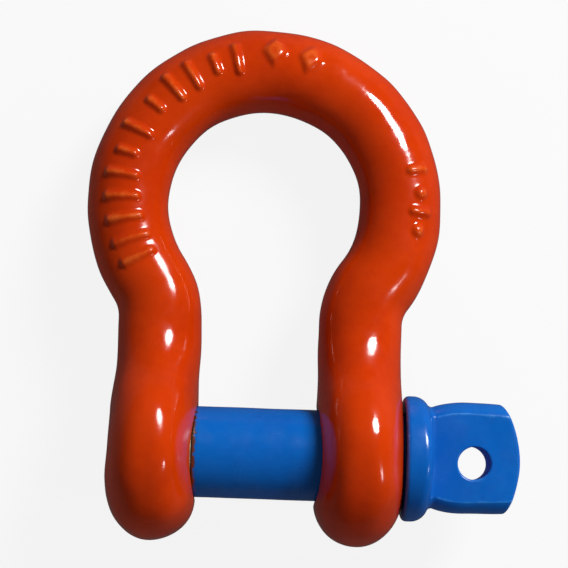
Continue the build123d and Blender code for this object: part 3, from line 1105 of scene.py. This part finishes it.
def enamel(name, thin, thick, rubbed_and_highlight_tone, duller, bump_strength):
    """A glossy enamel: patches of tone, edges dulled by rubbing with a painted highlight, chips near its bare
    parts, steel beyond.
    """
    material = bpy.data.materials.new(name)
    material.use_nodes = True
    tree = material.node_tree
    shader = tree.nodes["Principled BSDF"]
    shader.inputs["IOR"].default_value = ENAMEL_IOR
    place = tree.nodes.new("ShaderNodeTexCoord").outputs["Object"]
    kept_values = {}
    for label in ("bare", "edge", "hollow"):
        kept_value = tree.nodes.new("ShaderNodeAttribute")
        kept_value.attribute_name = label
        kept_values[label] = kept_value.outputs["Fac"]

    def wear_and_highlight(near_edge, size, softness):
        """Where paint is lost, or where an edge is dulled by rubbing and painted brighter as a highlight: 1
        where noise and nearness to an edge add up to more than 1.
        """
        group = place_group(tree, chip_and_highlight_group, Vector=place, Near_Edge=near_edge, Size=size, Softness=softness)
        return group.outputs["Mask"]

    tone = place_group(tree, tone_group, Vector=place, Thin=thin, Thick=thick)
    chipped = wear_and_highlight(kept_values["bare"], CHIP_SIZE, CHIP_SOFTNESS)
    # The edge value brings a brighter tone: partly paint thinned by rubbing, partly a painted highlight along
    # the edges.
    rub_and_highlight = wear_and_highlight(math_node(tree, "MULTIPLY", kept_values["edge"], RUB_HIGHLIGHT_SHARE), RUB_HIGHLIGHT_SIZE, RUB_HIGHLIGHT_SOFTNESS)
    peel = place_group(tree, peel_group, Vector=place, Peel_Size=PEEL_SIZE, Sag_Size=SAG_SIZE)
    paint = mix_colours(tree, rub_and_highlight, tone.outputs["Color"], rubbed_and_highlight_tone)
    tree.links.new(mix_colours(tree, chipped, paint, STEEL_TONE), shader.inputs["Base Color"])
    tree.links.new(chipped, shader.inputs["Metallic"])
    glossy, dull = GLOSS_ROUGHNESS + duller, DULL_ROUGHNESS + duller
    gloss = range_node(tree, peel.outputs["Patches"], PATCH_LOW, PATCH_HIGH, glossy, dull)
    dull_parts = (
        (rub_and_highlight, RUBBED_ROUGHNESS),
        (kept_values["hollow"], HOLLOW_ROUGHNESS),
        (chipped, STEEL_ROUGHNESS),
    )
    for mask, mask_roughness in dull_parts:
        gloss = math_node(tree, "MAXIMUM", gloss, math_node(tree, "MULTIPLY", mask, mask_roughness))
    tree.links.new(gloss, shader.inputs["Roughness"])
    bump = tree.nodes.new("ShaderNodeBump")
    bump.inputs["Strength"].default_value = bump_strength
    bump.inputs["Distance"].default_value = BUMP_DISTANCE_M
    tree.links.new(peel.outputs["Height"], bump.inputs["Height"])
    tree.links.new(bump.outputs["Normal"], shader.inputs["Normal"])
    return material


# %% The two enamels
# The lighter edge tones stand partly for paint thinned by rubbing and partly for a painted highlight on
# edges, lips and the tab's arris.
ORANGE_THIN = (0.64, 0.044, 0.0012, 1.0)
ORANGE_THICK = (0.56, 0.033, 0.0008, 1.0)
ORANGE_RUBBED_AND_HIGHLIGHT = (0.76, 0.110, 0.012, 1.0)
ORANGE_DULLER = 0.0
ORANGE_BUMP = 0.8
BLUE_THIN = (0.0016, 0.136, 0.560, 1.0)
BLUE_THICK = (0.0016, 0.112, 0.500, 1.0)
BLUE_RUBBED_AND_HIGHLIGHT = (0.030, 0.230, 0.660, 1.0)
BLUE_DULLER = 0.10
BLUE_BUMP = 0.7

orange = enamel("orange_enamel", ORANGE_THIN, ORANGE_THICK, ORANGE_RUBBED_AND_HIGHLIGHT, ORANGE_DULLER, ORANGE_BUMP)
blue = enamel("blue_enamel", BLUE_THIN, BLUE_THICK, BLUE_RUBBED_AND_HIGHLIGHT, BLUE_DULLER, BLUE_BUMP)
bow_piece.data.materials.append(orange)
pin_piece.data.materials.append(blue)
print("materials:", orange.name, "and", blue.name)

# %% [markdown]
# The floor is a plain pale disc. The camera has to see it nearly white with the shackle's soft shadow on
# it, but it must not throw more light up on the shackle than pale paper would. So its material asks what
# kind of ray arrives. For the rays that light the shackle it is plain matt paint. For the camera's rays most
# of it glows at strength 1, which is white. For mirror rays most of it glows far less, like the dim room
# that the real paint mirrors, because a white mirror image would wash out the deep red of the lower sides.

# %% Floor
FLOOR_RADIUS_M = 3.0
FLOOR_SIDES = 96
FLOOR_GAP_MM = 0.05
FLOOR_TONE = (0.68, 0.68, 0.68, 1.0)
SEEN_GLOW = 0.88
SEEN_STRENGTH = 1.0
MIRRORED_GLOW = 0.95
MIRRORED_STRENGTH = 0.05

floor_angles = 2 * math.pi * np.arange(FLOOR_SIDES) / FLOOR_SIDES
floor_x = FLOOR_RADIUS_M * np.cos(floor_angles)
floor_y = FLOOR_RADIUS_M * np.sin(floor_angles)
floor_z = np.full(FLOOR_SIDES, cad_low.z - FLOOR_GAP_MM * MM)
floor_mesh = bpy.data.meshes.new("floor")
floor_points = np.stack([floor_x, floor_y, floor_z], -1).tolist()
floor_mesh.from_pydata(floor_points, [], [list(range(FLOOR_SIDES))])
floor = add_object("floor", floor_mesh)
print("the floor is", round(floor_z[0] / MM, 2), "mm from the pin's axis")

# %% Floor material
floor_material = bpy.data.materials.new("pale_floor")
floor_material.use_nodes = True
floor_tree = floor_material.node_tree
floor_shader = floor_tree.nodes["Principled BSDF"]
floor_shader.inputs["Base Color"].default_value = FLOOR_TONE
floor_shader.inputs["Specular IOR Level"].default_value = 0.0
floor_shader.inputs["Roughness"].default_value = 1.0
floor_glow = floor_tree.nodes.new("ShaderNodeEmission")
floor_rays = floor_tree.nodes.new("ShaderNodeLightPath")
seen_part = math_node(floor_tree, "MULTIPLY", floor_rays.outputs["Is Camera Ray"], SEEN_GLOW)
mirrored = math_node(
    floor_tree, "MAXIMUM", floor_rays.outputs["Is Glossy Ray"], floor_rays.outputs["Is Transmission Ray"]
)
mirrored_part = math_node(floor_tree, "MULTIPLY", mirrored, MIRRORED_GLOW)
floor_mix = floor_tree.nodes.new("ShaderNodeMixShader")
glow_strength = range_node(floor_tree, mirrored, 0, 1, SEEN_STRENGTH, MIRRORED_STRENGTH, smooth=False)
floor_tree.links.new(glow_strength, floor_glow.inputs["Strength"])
floor_tree.links.new(math_node(floor_tree, "MAXIMUM", seen_part, mirrored_part), floor_mix.inputs["Fac"])
floor_tree.links.new(floor_shader.outputs["BSDF"], floor_mix.inputs[1])
floor_tree.links.new(floor_glow.outputs["Emission"], floor_mix.inputs[2])
floor_tree.links.new(floor_mix.outputs["Shader"], floor_tree.nodes["Material Output"].inputs["Surface"])
floor_mesh.materials.append(floor_material)

# %% [markdown]
# The main lamp stands to the upper right, rather low, and is small enough to leave compact, sharp
# reflections. A second small lamp to the right leaves the lesser ones. A dim world fills the shadows a
# little, as a room would, and the pale floor does the rest.

# %% Lamps
KEY_TOWARDS_DEG = 50.0
KEY_HEIGHT_DEG = 38.0
LAMP_DISTANCE_M = 1.0
KEY_SIZE_M = 0.36
KEY_POWER_W = 10.6
SIDE_TOWARDS_DEG = -20.0
SIDE_HEIGHT_DEG = 36.0
SIDE_SIZE_M = 0.14
SIDE_POWER_W = 0.9


def area_lamp(name, place, size, power):
    """Adds a round lamp at a place, turned to face the shackle's middle, that the camera doesn't see."""
    data = bpy.data.lights.new(name, "AREA")
    data.shape = "DISK"
    data.size = size
    data.energy = power
    lamp = add_object(name, data)
    lamp.location = place
    lamp.rotation_euler = (Vector(place) - shackle_middle).to_track_quat("Z", "Y").to_euler()
    lamp.visible_camera = False
    print(name, "at", [round(v, 2) for v in place], "m")


def lamp_place(towards_deg, height_deg):
    """A place at the lamps' distance, towards an angle in the floor's plane and at a height over it."""
    towards, height = math.radians(towards_deg), math.radians(height_deg)
    way = (math.cos(towards) * math.cos(height), math.sin(towards) * math.cos(height), math.sin(height))
    return shackle_middle + Vector(way) * LAMP_DISTANCE_M


shackle_middle = (cad_low + cad_high) / 2
area_lamp("key_lamp", lamp_place(KEY_TOWARDS_DEG, KEY_HEIGHT_DEG), KEY_SIZE_M, KEY_POWER_W)
area_lamp("side_lamp", lamp_place(SIDE_TOWARDS_DEG, SIDE_HEIGHT_DEG), SIDE_SIZE_M, SIDE_POWER_W)

# %% World
WORLD_LIGHT = 0.13
WORLD_MIRRORED = 0.03
WORLD_SEEN = 1.0

world = bpy.data.worlds.new("pale_room")
bpy.context.scene.world = world
world.use_nodes = True
world_tree = world.node_tree
background = world_tree.nodes["Background"]
background.inputs["Color"].default_value = (1, 1, 1, 1)
world_rays = world_tree.nodes.new("ShaderNodeLightPath")
is_mirror, is_seen = world_rays.outputs["Is Glossy Ray"], world_rays.outputs["Is Camera Ray"]
other_light = range_node(world_tree, is_mirror, 0, 1, WORLD_LIGHT, WORLD_MIRRORED, smooth=False)
world_light = range_node(world_tree, is_seen, 0, 1, other_light, WORLD_SEEN, smooth=False)
world_tree.links.new(world_light, background.inputs["Strength"])

bpy.context.scene.view_settings.view_transform = "Standard"
